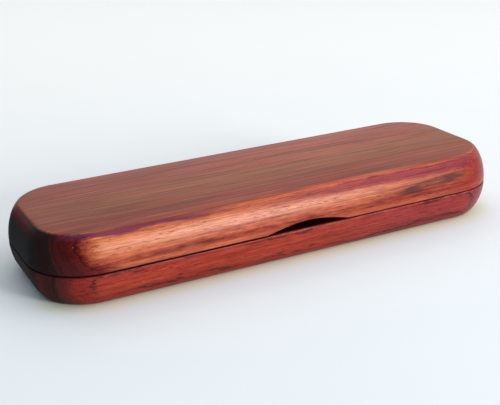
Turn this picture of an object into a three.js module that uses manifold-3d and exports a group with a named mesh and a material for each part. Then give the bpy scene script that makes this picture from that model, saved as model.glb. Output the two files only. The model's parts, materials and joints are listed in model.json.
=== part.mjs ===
// A case for two dip pens: a base and a lid milled from solid rosewood, joined at the back by two brass
// butt hinges and held shut at the front by two pairs of disc magnets. A flocked tray with two pen grooves
// fills the base, a padded panel lines the lid, and a thumb notch in the lid's front rim opens it.
//
// Millimetres. X runs along the case, Y from the front (-) to the back (+), Z up.
// The origin is the middle of the flat underside, on the surface that the case stands on.

import * as THREE from "three";
import { mergeVertices } from "three/addons/utils/BufferGeometryUtils.js";
import Module from "manifold-3d";

const wasm = await Module();
wasm.setup();

// ---------------------------------------------------------------- driving sizes

// The outside, at its widest line where base and lid meet
const LENGTH = 180;
const WIDTH = 59;
const CORNER_RADIUS = 20;
const BASE_HEIGHT = 11.7;
const LID_HEIGHT = 12.7;
const RIM_GAP = 0.4;

// Each outer wall follows a quarter ellipse, which starts upright at the rim and would close a little
// past the flat face: that leaves a crisp edge round the flat top and the flat underside.
const LID_ROUND_REACH = 7.6;
const LID_ROUND_PAST_TOP = 1.3;
const BASE_ROUND_REACH = 11;
const BASE_ROUND_PAST_BOTTOM = 2.6;

// The hollow inside
const RIM_WIDTH = 7;
const BASE_FLOOR = 2.8;
const LID_ROOF = 3;
const GLUE_FILM = 0.1;

// Thumb notch in the lid's front rim
const NOTCH_LENGTH = 32;
const NOTCH_HEIGHT = 2.3;
const NOTCH_OFFSET = 3.5;

// Flocked tray
const TRAY_BELOW_RIM = 0.8;
const TRAY_CLEARANCE = 0.3;
const TRAY_FLOOR = 2.2;
const GROOVE_RADIUS = 6.1;
const GROOVE_PITCH = 21;
const GROOVE_END_MARGIN = 3;
const FINGER_WELL_RADIUS = 12;
const FINGER_WELL_MARGIN = 4;

// Padded panel in the lid
const PAD_THICKNESS = 2.6;
const PAD_CLEARANCE = 0.6;
const PAD_EDGE_ROUND = 1.1;

// Butt hinges
const HINGE_FROM_END = 40;
const HINGE_LENGTH = 18;
const HINGE_LEAF_THICKNESS = 0.8;
const HINGE_BARREL_RADIUS = 1.3;
const HINGE_PIN_RADIUS = 0.6;
const HINGE_PIN_PLAY = 0.1;
const HINGE_PIN_HEAD = 0.35;
const HINGE_KNUCKLE_PLAY = 0.15;
const PIVOT_BEHIND_WALL = 0.4;
const WOOD_INSIDE_LEAF = 1.2;
const MORTISE_CLEARANCE = 0.15;

// Countersunk screws, two in each leaf
const SCREW_LENGTH = 5;
const SCREW_RADIUS = 0.7;
const SCREW_HEAD_RADIUS = 1.3;
const SCREW_PITCH = 10.5;
const SCREW_CLEARANCE = 0.1;
const SCREW_SLOT_WIDTH = 0.36;
const SCREW_SLOT_DEPTH = 0.3;

// Disc magnets, one pair near each front corner
const MAGNET_RADIUS = 2;
const MAGNET_THICKNESS = 2;
const MAGNET_FROM_END = 30;
const MAGNET_CLEARANCE = 0.1;

// Facets
const CORNER_STEPS = 6;
const WALL_STEPS = 6;
const ROUND_STEPS = 20;
const SMALL_ROUND_STEPS = 12;

// ---------------------------------------------------------------- worked out from them

const LID_BOTTOM = BASE_HEIGHT + RIM_GAP;
const LID_TOP = LID_BOTTOM + LID_HEIGHT;
const POCKET_LENGTH = LENGTH - 2 * RIM_WIDTH;
const POCKET_WIDTH = WIDTH - 2 * RIM_WIDTH;
const POCKET_CORNER = CORNER_RADIUS - RIM_WIDTH;
const TRAY_BOTTOM = BASE_FLOOR + GLUE_FILM;
const TRAY_TOP = BASE_HEIGHT - TRAY_BELOW_RIM;
const TRAY_LENGTH = POCKET_LENGTH - 2 * TRAY_CLEARANCE;
const TRAY_WIDTH = POCKET_WIDTH - 2 * TRAY_CLEARANCE;
const HOLLOW_BOTTOM = TRAY_BOTTOM + TRAY_FLOOR;
const PIVOT_Y = WIDTH / 2 + PIVOT_BEHIND_WALL;
const PIVOT_Z = BASE_HEIGHT + RIM_GAP / 2;
const BORE_RADIUS = HINGE_PIN_RADIUS + HINGE_PIN_PLAY;
const LEAF_WIDTH = RIM_WIDTH + PIVOT_BEHIND_WALL - WOOD_INSIDE_LEAF;
const SCREW_FROM_PIVOT = (HINGE_BARREL_RADIUS + LEAF_WIDTH) / 2;
const SCREW_HEAD_HEIGHT = SCREW_HEAD_RADIUS - SCREW_RADIUS;
const MAGNET_Y = (RIM_WIDTH - WIDTH) / 2;
const OVERCUT = 1;
const HINGES = { left: HINGE_FROM_END - LENGTH / 2, right: LENGTH / 2 - HINGE_FROM_END };
const MAGNETS = { left: MAGNET_FROM_END - LENGTH / 2, right: LENGTH / 2 - MAGNET_FROM_END };
const SCREWS = [-SCREW_PITCH / 2, SCREW_PITCH / 2];

// ---------------------------------------------------------------- materials

const finish = (color, roughness, metalness) => new THREE.MeshStandardMaterial({ color, roughness, metalness });
const rosewood = finish(0x8a3a28, 0.38, 0);
const flock = finish(0x1d1a1f, 0.95, 0);
const velvet = finish(0x241d24, 0.9, 0);
const brass = finish(0xb8934a, 0.3, 1);
const steel = finish(0x9a9a9c, 0.32, 1);
const nickel = finish(0xc2c3c6, 0.22, 1);

// ---------------------------------------------------------------- solids and shapes

// A closed geometry as a solid that can be cut and joined.
function solid(geometry) {
  const bare = geometry.index ? geometry.toNonIndexed() : geometry.clone();
  bare.deleteAttribute("normal");
  bare.deleteAttribute("uv");
  const merged = mergeVertices(bare, 1e-4);
  const corners = merged.index.array;
  const faces = [];
  for (let i = 0; i < corners.length; i += 3) {
    const [a, b, c] = corners.subarray(i, i + 3);
    if (a !== b && b !== c && a !== c) faces.push(a, b, c);
  }
  return new wasm.Manifold(
    new wasm.Mesh({
      numProp: 3,
      vertProperties: merged.attributes.position.array,
      triVerts: new Uint32Array(faces),
    }),
  );
}

// A solid as a named mesh.
function piece(name, body, material) {
  const { vertProperties, triVerts } = body.getMesh();
  const geometry = new THREE.BufferGeometry();
  geometry.setAttribute("position", new THREE.BufferAttribute(vertProperties, 3));
  geometry.setIndex(new THREE.BufferAttribute(triVerts, 1));
  geometry.computeVertexNormals();
  const mesh = new THREE.Mesh(geometry, material);
  mesh.name = name;
  return mesh;
}

// A rectangle with round corners, centred on the origin.
function roundedRectangle(length, width, radius) {
  const x = length / 2 - radius;
  const y = width / 2 - radius;
  const quarter = Math.PI / 2;
  const shape = new THREE.Shape();
  shape.absarc(x, y, radius, 0, quarter);
  shape.absarc(-x, y, radius, quarter, 2 * quarter);
  shape.absarc(-x, -y, radius, 2 * quarter, 3 * quarter);
  shape.absarc(x, -y, radius, 3 * quarter, 4 * quarter);
  shape.closePath();
  return shape;
}

// An upright prism of a shape from z = bottom to z = top.
function prism(shape, bottom, top) {
  const options = { depth: top - bottom, bevelEnabled: false, curveSegments: CORNER_STEPS };
  return solid(new THREE.ExtrudeGeometry(shape, options).translate(0, 0, bottom));
}

// A box between two corners.
function block([x0, y0, z0], [x1, y1, z1]) {
  const box = new THREE.BoxGeometry(x1 - x0, y1 - y0, z1 - z0);
  return solid(box.translate((x0 + x1) / 2, (y0 + y1) / 2, (z0 + z1) / 2));
}

// A cylinder along X, centred on the origin.
function barAlongX(radius, length, steps) {
  return solid(new THREE.CylinderGeometry(radius, radius, length, steps).rotateZ(Math.PI / 2));
}

// An upright cylinder from z = bottom to z = top.
function disc(radius, bottom, top, steps) {
  const cylinder = new THREE.CylinderGeometry(radius, radius, top - bottom, steps);
  return solid(cylinder.rotateX(Math.PI / 2).translate(0, 0, (bottom + top) / 2));
}

// A bar with ball ends, centred on the origin and lying along Y.
function roundBar(radius, length) {
  const half = length / 2 - radius;
  const profile = new THREE.Path();
  profile.absarc(0, -half, radius, -Math.PI / 2, 0);
  profile.absarc(0, half, radius, 0, Math.PI / 2);
  return solid(new THREE.LatheGeometry(profile.getPoints(CORNER_STEPS), ROUND_STEPS));
}

// ---------------------------------------------------------------- base and lid

// The outside of one half, standing on its rim at z = 0 and rising to a flat face at z = height.
function shellOutside(height, reach, pastFace) {
  const rise = height + pastFace;
  const geometry = new THREE.ExtrudeGeometry(roundedRectangle(LENGTH, WIDTH, CORNER_RADIUS), {
    depth: OVERCUT,
    curveSegments: CORNER_STEPS,
    bevelThickness: rise,
    bevelSize: reach,
    bevelOffset: -reach,
    bevelSegments: WALL_STEPS,
  }).translate(0, 0, -OVERCUT);
  const keep = block([-LENGTH, -WIDTH, 0], [LENGTH, WIDTH, height]);
  return solid(geometry).intersect(keep);
}

function pocket(bottom, top) {
  return prism(roundedRectangle(POCKET_LENGTH, POCKET_WIDTH, POCKET_CORNER), bottom, top);
}

// What both halves lose for one hinge, for a half whose rim is at z = rim and whose wood lies on the
// side that up points to: the leaf's mortise, the room for the barrel and the screws' pilot holes.
function hingeSeat(x, rim, up) {
  const halfLength = HINGE_LENGTH / 2 + MORTISE_CLEARANCE;
  const inner = PIVOT_Y - LEAF_WIDTH - MORTISE_CLEARANCE;
  const floor = rim + up * (HINGE_LEAF_THICKNESS + GLUE_FILM);
  const open = rim - up * OVERCUT;
  let cut = block(
    [-halfLength, inner, Math.min(floor, open)],
    [halfLength, PIVOT_Y + OVERCUT, Math.max(floor, open)],
  );
  const barrelLength = 2 * (halfLength + HINGE_PIN_HEAD);
  const barrel = barAlongX(HINGE_BARREL_RADIUS + 2 * MORTISE_CLEARANCE, barrelLength, ROUND_STEPS);
  cut = cut.add(barrel.translate([0, PIVOT_Y, PIVOT_Z]));
  const holeEnd = rim + up * (SCREW_LENGTH + 3 * SCREW_CLEARANCE);
  for (const along of SCREWS) {
    const hole = disc(
      SCREW_RADIUS + SCREW_CLEARANCE,
      Math.min(holeEnd, rim),
      Math.max(holeEnd, rim),
      SMALL_ROUND_STEPS,
    );
    cut = cut.add(hole.translate([along, PIVOT_Y - SCREW_FROM_PIVOT, 0]));
  }
  return cut.translate([x, 0, 0]);
}

// The blind hole for one magnet.
function magnetHole(x, rim, up) {
  const end = rim + up * (MAGNET_THICKNESS + MAGNET_CLEARANCE);
  const open = rim - up * OVERCUT;
  const radius = MAGNET_RADIUS + MAGNET_CLEARANCE;
  const hole = disc(radius, Math.min(end, open), Math.max(end, open), ROUND_STEPS);
  return hole.translate([x, MAGNET_Y, 0]);
}

function base() {
  let wood = shellOutside(BASE_HEIGHT, BASE_ROUND_REACH, BASE_ROUND_PAST_BOTTOM);
  wood = wood.rotate([180, 0, 0]).translate([0, 0, BASE_HEIGHT]);
  wood = wood.subtract(pocket(BASE_FLOOR, BASE_HEIGHT + OVERCUT));
  for (const x of Object.values(HINGES)) wood = wood.subtract(hingeSeat(x, BASE_HEIGHT, -1));
  for (const x of Object.values(MAGNETS)) wood = wood.subtract(magnetHole(x, BASE_HEIGHT, -1));
  return piece("base", wood, rosewood);
}

// A shallow arc of a circle, cut straight through the front rim.
function thumbNotch() {
  const halfChord = NOTCH_LENGTH / 2;
  const radius = (halfChord ** 2 + NOTCH_HEIGHT ** 2) / (2 * NOTCH_HEIGHT);
  const sweep = Math.asin(halfChord / radius);
  const arc = new THREE.Shape();
  arc.absarc(0, NOTCH_HEIGHT - radius, radius, Math.PI / 2 - sweep, Math.PI / 2 + sweep);
  arc.lineTo(-halfChord, -OVERCUT);
  arc.lineTo(halfChord, -OVERCUT);
  arc.closePath();
  const depth = RIM_WIDTH + 2 * OVERCUT;
  const geometry = new THREE.ExtrudeGeometry(arc, {
    depth,
    bevelEnabled: false,
    curveSegments: 2 * CORNER_STEPS,
  });
  geometry.rotateX(Math.PI / 2).translate(NOTCH_OFFSET, depth - OVERCUT - WIDTH / 2, LID_BOTTOM);
  return solid(geometry);
}

function lid() {
  let wood = shellOutside(LID_HEIGHT, LID_ROUND_REACH, LID_ROUND_PAST_TOP).translate([0, 0, LID_BOTTOM]);
  wood = wood.subtract(pocket(LID_BOTTOM - OVERCUT, LID_TOP - LID_ROOF));
  wood = wood.subtract(thumbNotch());
  for (const x of Object.values(HINGES)) wood = wood.subtract(hingeSeat(x, LID_BOTTOM, 1));
  for (const x of Object.values(MAGNETS)) wood = wood.subtract(magnetHole(x, LID_BOTTOM, 1));
  return piece("lid", wood, rosewood);
}

// ---------------------------------------------------------------- tray and lining

function tray() {
  const outline = roundedRectangle(TRAY_LENGTH, TRAY_WIDTH, POCKET_CORNER - TRAY_CLEARANCE);
  let body = prism(outline, TRAY_BOTTOM, TRAY_TOP);
  const groove = roundBar(GROOVE_RADIUS, TRAY_LENGTH - 2 * GROOVE_END_MARGIN).rotate([0, 0, 90]);
  for (const side of [-1, 1]) {
    body = body.subtract(groove.translate([0, (side * GROOVE_PITCH) / 2, HOLLOW_BOTTOM + GROOVE_RADIUS]));
  }
  const well = roundBar(FINGER_WELL_RADIUS, TRAY_WIDTH - 2 * FINGER_WELL_MARGIN);
  body = body.subtract(well.translate([0, 0, HOLLOW_BOTTOM + FINGER_WELL_RADIUS]));
  return piece("pen_tray", body, flock);
}

function lidPad() {
  const inset = PAD_CLEARANCE;
  const shape = roundedRectangle(POCKET_LENGTH - 2 * inset, POCKET_WIDTH - 2 * inset, POCKET_CORNER - inset);
  const geometry = new THREE.ExtrudeGeometry(shape, {
    depth: PAD_THICKNESS - 2 * PAD_EDGE_ROUND,
    curveSegments: CORNER_STEPS,
    bevelThickness: PAD_EDGE_ROUND,
    bevelSize: PAD_EDGE_ROUND,
    bevelOffset: -PAD_EDGE_ROUND,
    bevelSegments: 3,
  });
  const roof = LID_TOP - LID_ROOF - GLUE_FILM;
  geometry.translate(0, 0, roof - PAD_THICKNESS + PAD_EDGE_ROUND);
  return piece("lid_pad", solid(geometry), velvet);
}

// ---------------------------------------------------------------- magnets

function magnet(name, x, bottom) {
  const body = disc(MAGNET_RADIUS, 0, MAGNET_THICKNESS, ROUND_STEPS);
  const mesh = piece(name, body, nickel);
  mesh.position.set(x, MAGNET_Y, bottom);
  return mesh;
}

// ---------------------------------------------------------------- hinges

// One leaf with its knuckles, around the pivot at the origin. The base leaf has the two outer knuckles
// and lies below the pivot (up = -1); the lid leaf has the middle one and lies above it (up = 1).
function hingeLeaf(up) {
  const third = HINGE_LENGTH / 6;
  const half = HINGE_LENGTH / 2;
  const nearFace = up * (RIM_GAP / 2);
  const farFace = up * (RIM_GAP / 2 + HINGE_LEAF_THICKNESS);
  const low = Math.min(nearFace, farFace);
  const high = Math.max(nearFace, farFace);
  let leaf = block([-half, -LEAF_WIDTH, low], [half, 0, high]);
  leaf = leaf.add(barAlongX(HINGE_BARREL_RADIUS, HINGE_LENGTH, ROUND_STEPS));
  const gap = HINGE_BARREL_RADIUS + MORTISE_CLEARANCE;
  const room = (from, to) => block([from, -gap, -2 * gap], [to, 2 * gap, 2 * gap]);
  if (up < 0) {
    leaf = leaf.subtract(room(-third - HINGE_KNUCKLE_PLAY, third + HINGE_KNUCKLE_PLAY));
  } else {
    leaf = leaf.subtract(room(-half - OVERCUT, -third + HINGE_KNUCKLE_PLAY));
    leaf = leaf.subtract(room(third - HINGE_KNUCKLE_PLAY, half + OVERCUT));
  }
  leaf = leaf.subtract(barAlongX(BORE_RADIUS, HINGE_LENGTH + OVERCUT, ROUND_STEPS));
  for (const x of SCREWS) {
    leaf = leaf.subtract(countersink(up).translate([x, -SCREW_FROM_PIVOT, nearFace]));
  }
  return leaf;
}

// The countersunk hole in a leaf, with its mouth at z = 0 and its shank hole towards up.
function countersink(up) {
  const head = SCREW_HEAD_RADIUS + SCREW_CLEARANCE;
  const shank = SCREW_RADIUS + SCREW_CLEARANCE;
  const profile = [
    [0, -OVERCUT],
    [head, -OVERCUT],
    [head, 0],
    [shank, SCREW_HEAD_HEIGHT],
    [shank, HINGE_LEAF_THICKNESS + OVERCUT],
    [0, HINGE_LEAF_THICKNESS + OVERCUT],
  ];
  return revolved(profile, up);
}

// A screw with its head's face at z = 0 and its point towards up.
function screwBody(up) {
  const profile = [
    [0, 0],
    [SCREW_HEAD_RADIUS, 0],
    [SCREW_RADIUS, SCREW_HEAD_HEIGHT],
    [SCREW_RADIUS, SCREW_LENGTH - 2 * SCREW_RADIUS],
    [0, SCREW_LENGTH],
  ];
  const slot = block(
    [-SCREW_HEAD_RADIUS - OVERCUT, -SCREW_SLOT_WIDTH / 2, -SCREW_SLOT_DEPTH],
    [SCREW_HEAD_RADIUS + OVERCUT, SCREW_SLOT_WIDTH / 2, SCREW_SLOT_DEPTH],
  );
  return revolved(profile, up).subtract(slot);
}

// A profile of [radius, height] points turned about Z. Heights count towards up.
function revolved(profile, up) {
  const points = profile.map(([radius, height]) => new THREE.Vector2(radius, height));
  const turned = solid(new THREE.LatheGeometry(points, SMALL_ROUND_STEPS).rotateX(Math.PI / 2));
  return up > 0 ? turned : turned.rotate([180, 0, 0]);
}

// A pin with a low peened head at each end.
function hingePin() {
  const half = HINGE_LENGTH / 2;
  const profile = [
    [0, -half - HINGE_PIN_HEAD],
    [HINGE_PIN_RADIUS, -half - HINGE_PIN_HEAD],
    [BORE_RADIUS + HINGE_PIN_PLAY, -half - HINGE_PIN_PLAY],
    [HINGE_PIN_RADIUS, -half - HINGE_PIN_PLAY],
    [HINGE_PIN_RADIUS, half + HINGE_PIN_PLAY],
    [BORE_RADIUS + HINGE_PIN_PLAY, half + HINGE_PIN_PLAY],
    [HINGE_PIN_RADIUS, half + HINGE_PIN_HEAD],
    [0, half + HINGE_PIN_HEAD],
  ];
  const points = profile.map(([radius, along]) => new THREE.Vector2(radius, along));
  return solid(new THREE.LatheGeometry(points, SMALL_ROUND_STEPS).rotateZ(Math.PI / 2));
}

function hinge(side, x) {
  const group = new THREE.Group();
  group.position.set(x, PIVOT_Y, PIVOT_Z);
  group.add(piece(`hinge_${side}_base_leaf`, hingeLeaf(-1), brass));
  group.add(piece(`hinge_${side}_lid_leaf`, hingeLeaf(1), brass));
  group.add(piece(`hinge_${side}_pin`, hingePin(), steel));
  for (const [half, up] of [["base", -1], ["lid", 1]]) {
    SCREWS.forEach((along, i) => {
      const screw = piece(`hinge_${side}_${half}_screw_${i + 1}`, screwBody(up), brass);
      screw.position.set(along, -SCREW_FROM_PIVOT, (up * RIM_GAP) / 2);
      group.add(screw);
    });
  }
  return group;
}

// ---------------------------------------------------------------- the case

const penCase = new THREE.Group();
penCase.add(base(), lid(), tray(), lidPad());
for (const [side, x] of Object.entries(MAGNETS)) {
  penCase.add(magnet(`base_magnet_${side}`, x, BASE_HEIGHT - MAGNET_THICKNESS));
  penCase.add(magnet(`lid_magnet_${side}`, x, LID_BOTTOM));
}
for (const [side, x] of Object.entries(HINGES)) penCase.add(hinge(side, x));

export default penCase;
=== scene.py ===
# %% [markdown]
# # A rosewood case for dip pens
#
# The object is two trays milled from solid wood and hinged along the back. The lower one holds a flocked
# insert with two grooves for penholders, and the upper one is lined with padded velvet. Outside there is only
# wood, so the lesson is about two things: getting a rounded form right with arithmetic, and growing wood
# grain through it as a solid pattern.
#
# The frame is the measured model. Every piece takes its size and place from it, and every shape is a formula
# evaluated over a whole numpy grid at once. Lengths are in millimetres until a mesh is made.

# %% Load the frame
import json

import bmesh
import bpy
import numpy as np
from mathutils import Matrix, Vector


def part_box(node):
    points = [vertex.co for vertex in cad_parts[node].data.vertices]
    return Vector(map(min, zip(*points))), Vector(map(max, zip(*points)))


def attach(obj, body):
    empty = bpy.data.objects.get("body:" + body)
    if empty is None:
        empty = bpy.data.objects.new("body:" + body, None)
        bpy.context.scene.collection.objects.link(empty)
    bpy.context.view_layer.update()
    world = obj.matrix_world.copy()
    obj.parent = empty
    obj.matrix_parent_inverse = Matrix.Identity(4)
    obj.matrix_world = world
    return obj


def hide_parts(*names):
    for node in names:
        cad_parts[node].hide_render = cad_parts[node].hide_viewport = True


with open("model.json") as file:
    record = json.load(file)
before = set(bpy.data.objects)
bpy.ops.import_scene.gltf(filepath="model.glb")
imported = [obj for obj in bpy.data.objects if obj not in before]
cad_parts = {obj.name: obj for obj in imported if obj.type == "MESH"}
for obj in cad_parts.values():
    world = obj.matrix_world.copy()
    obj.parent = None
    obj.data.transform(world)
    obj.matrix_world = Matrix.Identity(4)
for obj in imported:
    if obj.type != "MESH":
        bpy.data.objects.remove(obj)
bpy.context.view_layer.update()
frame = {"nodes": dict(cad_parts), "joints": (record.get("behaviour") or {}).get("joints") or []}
MM = 0.001


def span(node):
    """Lowest and highest corner of a node of the frame, in millimetres."""
    return np.array(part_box(node)) / MM


def measure(node):
    """Centre and size of a node of the frame, in millimetres."""
    low, high = span(node)
    return (low + high) / 2, high - low


BASE_LOW, BASE_HIGH = span("base")
LID_LOW, LID_HIGH = span("lid")
TRAY_LOW, TRAY_HIGH = span("pen_tray")
PAD_LOW, PAD_HIGH = span("lid_pad")
LENGTH, WIDTH, _ = BASE_HIGH - BASE_LOW
print("case", LENGTH, "x", WIDTH, "x", round(LID_HIGH[2], 2), "mm;", len(frame["nodes"]), "nodes")

# %% [markdown]
# ## Camera
#
# The case is seen from its front left corner, a hand's height above the table. A camera is placed by the
# point that it looks at and the direction that it looks from: an azimuth round the object, an elevation, a
# distance, and a slight roll, because a hand-held camera is never quite level.

# %% Camera
CAMERA_TARGET = (-4.2, 0, 12.9)
CAMERA_AZIMUTH = -26.8
CAMERA_ELEVATION = 20.94
CAMERA_DISTANCE = 361.6
CAMERA_ROLL = -1.68
CAMERA_LENS = 71.44


def aim(target, azimuth, elevation, distance, roll=0.0):
    """Matrix of a camera or lamp at that distance from target. Its own Z points back from the target, at
    the azimuth (counted from -Y towards +X) and elevation; X and Y are turned about it by roll."""
    az, el, turn = np.radians([azimuth, elevation, roll])
    back = Vector((np.sin(az) * np.cos(el), -np.cos(az) * np.cos(el), np.sin(el)))
    level = Vector((np.cos(az), np.sin(az), 0))
    upward = back.cross(level)
    across = level * np.cos(turn) + upward * np.sin(turn)
    above = upward * np.cos(turn) - level * np.sin(turn)
    matrix = Matrix((across, above, back)).transposed().to_4x4()
    matrix.translation = (Vector(target) + back * distance) * MM
    return matrix


def add_object(name, data):
    """A new object in the scene, at the origin."""
    thing = bpy.data.objects.new(name, data)
    bpy.context.scene.collection.objects.link(thing)
    return thing


camera = add_object("camera", bpy.data.cameras.new("camera"))
camera.data.sensor_width = 36
camera.data.lens = CAMERA_LENS
camera.data.clip_start = 0.01
camera.matrix_world = aim(CAMERA_TARGET, CAMERA_AZIMUTH, CAMERA_ELEVATION, CAMERA_DISTANCE, CAMERA_ROLL)
bpy.context.scene.camera = camera
bpy.context.scene.view_settings.view_transform = "Standard"
print("camera at", [round(c / MM, 1) for c in camera.matrix_world.translation], "mm")

# %% [markdown]
# ## Surfaces from grids
#
# A surface is a grid of points: one parameter runs down the rows, the other along the columns. Neighbouring
# points make a four-sided face, so the faces follow from the grid's size alone. Where a surface closes on
# itself, the last column joins the first; where it closes in a pole or a seam, points fall together, and
# merging them makes the skin watertight.


# %% Grid helper
def grid_faces(rows, columns, around=False):
    """Corner numbers of the faces of a rows x columns grid. around joins the last column to the first."""
    index = np.arange(rows * columns).reshape(rows, columns)
    if around:
        index = np.hstack([index, index[:, :1]])
    corners = [index[:-1, :-1], index[:-1, 1:], index[1:, 1:], index[1:, :-1]]
    return np.stack(corners, axis=-1).reshape(-1, 4)


def make_mesh(name, points, faces, sharp=35):
    """Object from points in millimetres and faces. Doubles are merged, the skin is turned outwards, and
    edges that turn by more than sharp degrees stay crisp."""
    mesh = bpy.data.meshes.new(name)
    mesh.from_pydata((np.asarray(points).reshape(-1, 3) * MM).tolist(), [], [list(f) for f in faces])
    work = bmesh.new()
    work.from_mesh(mesh)
    bmesh.ops.remove_doubles(work, verts=work.verts, dist=1e-3 * MM)
    bmesh.ops.recalc_face_normals(work, faces=work.faces)
    work.to_mesh(mesh)
    work.free()
    mesh.shade_smooth()
    mesh.set_sharp_from_angle(angle=np.radians(sharp))
    return add_object(name, mesh)


def apply_modifiers(piece):
    """Gives a piece the mesh that its modifiers make, and removes them."""
    bpy.context.view_layer.update()
    mesh = bpy.data.meshes.new_from_object(piece.evaluated_get(bpy.context.evaluated_depsgraph_get()))
    piece.modifiers.clear()
    piece.data = mesh


def in_frame(piece, material, body, node):
    """Gives a piece its material and the body it rides on, and hides the node of the frame that it stands
    for.
    """
    piece.data.materials.clear()
    piece.data.materials.append(material)
    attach(piece, body)
    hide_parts(node)
    print(piece.name, len(piece.data.polygons), "faces")


# %% [markdown]
# ## The outline
#
# Seen from above, both halves are a rectangle with quarter-circle corners. It is drawn once, as the path of a
# point on an inner rectangle, where the corner centres are, plus an arrow that points outwards. A wall that
# lies further in is then the same path with a shorter arrow, so every ring of the form stays parallel to
# the outside, as it would be behind a router's guide pin.

# %% Outline of the case
CORNER_RADIUS = 20
OUTLINE_STEPS = (150, 10, 26)


def outline(length, width, radius, steps=OUTLINE_STEPS):
    """Inner path and outward arrows of a round-cornered rectangle, anticlockwise from the front left, with
    steps points on a long side, on a short side and in a corner.

    A point at inset d is path + (radius - d) * arrow. On a side the path moves and the arrow stands still;
    in a corner the path stands still and the arrow turns through a quarter circle."""
    x, y = length / 2 - radius, width / 2 - radius
    corners = np.array([[-x, -y], [x, -y], [x, y], [-x, y]])
    path, arrow = [], []
    for side in range(4):
        start, end = corners[side], corners[(side + 1) % 4]
        along = np.linspace(0, 1, steps[side % 2], endpoint=False)[:, None]
        facing = np.radians(90 * side - 90)
        turning = facing + np.linspace(0, np.pi / 2, steps[2], endpoint=False)
        path += [start + (end - start) * along, np.repeat(end[None], steps[2], axis=0)]
        angles = np.concatenate([np.full(steps[side % 2], facing), turning])
        arrow.append(np.stack([np.cos(angles), np.sin(angles)], axis=1))
    return np.concatenate(path), np.concatenate(arrow)


def at_height(plan, height):
    """Points in space from a grid of plan points and their heights, one for each point or for each row."""
    return np.stack([plan[..., 0], plan[..., 1], height + 0 * plan[..., 0]], axis=-1)


def capped(plan, path, inward):
    """Rings of a form with more rings before and after them, which shrink to a spine and so close it."""
    spine = path[None] * (1, 0)
    share = np.array(inward)[:, None, None]
    first = plan[:1] * (1 - share) + spine * share
    last = plan[-1:] * (1 - share[::-1]) + spine * share[::-1]
    return np.concatenate([first, plan, last])


def ease(start, corner, end, steps=5):
    """Points of a quadratic curve from start to end that is drawn towards corner: a rounded corner."""
    t = np.linspace(0, 1, steps)[:, None]
    start, corner, end = np.array([start, corner, end], dtype=float)
    return start * (1 - t) ** 2 + corner * 2 * t * (1 - t) + end * t**2


# %% [markdown]
# ## The two halves
#
# A section through the wall gives the profile: the flat face, the crisp edge round it, the wall bulging out
# along a quarter ellipse, a lightly eased rim, and the straight inner wall of the hollow. Carried round the
# outline, that profile is the whole skin of one half. The thumb notch is a lift of the rim's height over a
# short stretch of the front, strongest at the rim and fading up the wall, as sandpaper round a finger does.

# %% Profile of a half
RIM_WIDTH = 7
RIM_EASE = 0.42
INNER_EASE = 0.3
FACE_EASE = 0.8
NOTCH_CENTRE = 3.5
NOTCH_LENGTH = 33
NOTCH_HEIGHT = 2.4


def bulge(rise, reach, full):
    """How far a wall has drawn in at a height above the rim: a quarter ellipse, upright at the rim."""
    return reach * (1 - np.sqrt(1 - (np.clip(rise, 0, full) / full) ** 2))


def notch_lift(path, arrow):
    """Height of the notch along the outline: a parabola that meets the rim softly at both ends."""
    across = np.clip(np.abs(path[:, 0] - NOTCH_CENTRE) / (NOTCH_LENGTH / 2), 0, 1)
    in_front = arrow[:, 1] < -0.99
    return NOTCH_HEIGHT * (1 - across**2) ** 1.25 * in_front


def wooden_half(name, rim, face, reach, full, depth, notched):
    """Closed skin of one half.

    rim and face are the heights of its rim and of its flat face, reach and full the half-axes of the wall's
    ellipse, and depth how deep the hollow is below the rim. Rows are (inset, rise above the rim)."""
    height = abs(face - rim)
    edge = bulge(height, reach, full)
    below_edge = height - FACE_EASE
    rows = [
        ease((edge + FACE_EASE, height), (edge, height), (bulge(below_edge, reach, full), below_edge), 6),
        [(bulge(r, reach, full), r) for r in np.linspace(below_edge, RIM_EASE, 20)[1:-1]],
        ease((0, RIM_EASE), (0, 0), (RIM_EASE, 0)),
        ease((RIM_WIDTH - INNER_EASE, 0), (RIM_WIDTH, 0), (RIM_WIDTH, INNER_EASE)),
        [(RIM_WIDTH, r) for r in np.linspace(INNER_EASE, depth - INNER_EASE, 7)[1:-1]],
        ease((RIM_WIDTH, depth - INNER_EASE), (RIM_WIDTH, depth), (RIM_WIDTH + INNER_EASE, depth)),
    ]
    inset, rise = np.concatenate(rows).T[:, :, None]
    path, arrow = outline(LENGTH, WIDTH, CORNER_RADIUS)
    lift = notch_lift(path, arrow)[None] * notched
    inside = inset >= RIM_WIDTH - INNER_EASE
    fade = np.clip(1 - rise / np.where(inside, depth, height), 0, 1)
    lifted = rise + lift * fade
    drawn_in = bulge(lifted, reach, full) - bulge(rise, reach, full)
    arm = CORNER_RADIUS - inset - np.where(inside, 0, drawn_in)
    plan = path[None] + arm[..., None] * arrow[None]
    plan = capped(plan, path, (1, 0.6, 0.25))
    lifted = np.pad(lifted, ((3, 3), (0, 0)), "edge")
    heights = rim + np.sign(face - rim) * lifted
    points = at_height(plan, heights)
    return make_mesh(name, points, grid_faces(*points.shape[:2], around=True))


LID_DEPTH = PAD_HIGH[2] + 0.1 - LID_LOW[2]
BASE_DEPTH = BASE_HIGH[2] - (TRAY_LOW[2] - 0.1)
LID_REACH, LID_PAST_FACE = 7.6, 1.3
BASE_REACH, BASE_PAST_FACE = 11, 2.6
lid_full = LID_HIGH[2] - LID_LOW[2] + LID_PAST_FACE
base_full = BASE_HIGH[2] - BASE_LOW[2] + BASE_PAST_FACE
lid_wood = wooden_half("lid_wood", LID_LOW[2], LID_HIGH[2], LID_REACH, lid_full, LID_DEPTH, True)
base_wood = wooden_half("base_wood", BASE_HIGH[2], BASE_LOW[2], BASE_REACH, base_full, BASE_DEPTH, False)
print("each half has", len(base_wood.data.vertices), "points")

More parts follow.
